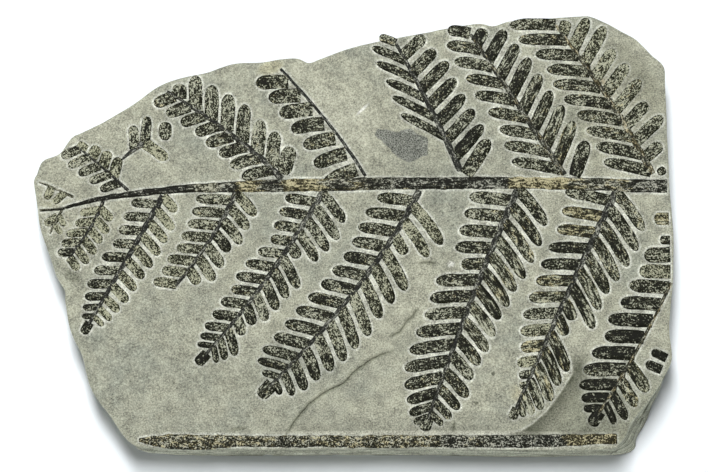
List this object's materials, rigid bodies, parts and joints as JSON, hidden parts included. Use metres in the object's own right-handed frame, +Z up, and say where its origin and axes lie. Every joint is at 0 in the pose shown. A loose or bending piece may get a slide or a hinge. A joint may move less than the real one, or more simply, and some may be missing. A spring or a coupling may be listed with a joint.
{
  "type": "fossil fern plate",
  "caption": "Slab of grey-green shale with a carbonised fern frond pressed flat on its split face, the rachis across it and the pinnae above and below.",
  "frame": {"origin": "middle of the slab's underside", "axes": "+Z up out of the fossil face, +X along the main rachis towards its thick end, +Y towards the edge above the upper pinnae"},
  "size_m": [0.1998, 0.1375, 0.0192],
  "materials": {
    "shale": "matt fine-grained grey-green shale, split along the bedding",
    "stem_film": "fibrous charcoal and ochre film, satin",
    "carbon_film": "near-black carbon film with fine pale flecks, satin"
  },
  "bodies": {
    "root": {"shale_slab": "shale", "main_rachis": "stem_film", "edge_stem": "stem_film", "pinna_upper_1": "carbon_film", "pinna_upper_2": "carbon_film", "pinna_upper_3": "carbon_film", "pinna_upper_4": "carbon_film", "pinna_upper_5": "carbon_film", "pinna_upper_6": "carbon_film", "pinna_upper_7": "carbon_film", "pinna_lower_1": "carbon_film", "pinna_lower_2": "carbon_film", "pinna_lower_3": "carbon_film", "pinna_lower_4": "carbon_film", "pinna_lower_5": "carbon_film", "pinna_lower_6": "carbon_film", "pinna_lower_7": "carbon_film", "pinna_lower_8": "carbon_film", "pinna_lower_9": "carbon_film", "pinna_fragment": "carbon_film", "loose_pinnule_1": "carbon_film", "loose_pinnule_2": "carbon_film", "loose_pinnule_3": "carbon_film", "loose_pinnule_4": "carbon_film", "loose_pinnule_5": "carbon_film", "loose_pinnule_6": "carbon_film", "loose_pinnule_7": "carbon_film", "loose_pinnule_8": "carbon_film", "loose_pinnule_9": "carbon_film", "loose_pinnule_10": "carbon_film", "loose_pinnule_11": "carbon_film"}
  },
  "joints": []
}
